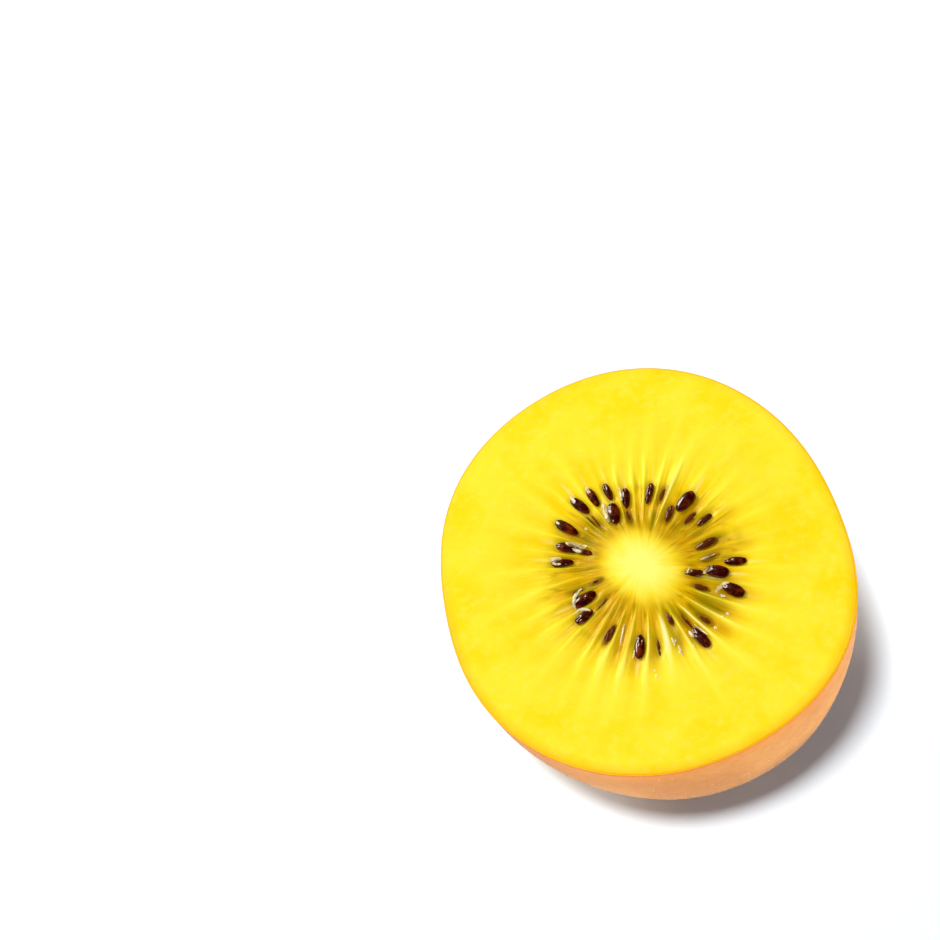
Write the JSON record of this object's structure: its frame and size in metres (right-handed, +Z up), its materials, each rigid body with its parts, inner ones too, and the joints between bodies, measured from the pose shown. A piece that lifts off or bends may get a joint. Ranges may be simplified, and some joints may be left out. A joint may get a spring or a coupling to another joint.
{
  "type": "golden kiwi fruit half",
  "caption": "Half a golden kiwi fruit cut across the middle, with a pale core, a ring of dark seeds in sunken rays and thin bronze skin, resting on its rounded end.",
  "frame": {"origin": "centre of the small flat spot on the rounded underside, on the surface that the half rests on", "axes": "+Z up from the surface; the cut faces up and tips 10.3 degrees down towards -X; the picture looks along +Y, steeply down"},
  "size_m": [0.0519, 0.0575, 0.0344],
  "materials": {
    "flesh": "moist, slightly translucent fruit flesh, golden yellow, pale at the core",
    "skin": "thin bronze skin, smooth with fine pale specks",
    "seeds": "dark red-brown, pitted and wet"
  },
  "bodies": {
    "root": {"kiwi_half": "flesh"}
  },
  "joints": []
}
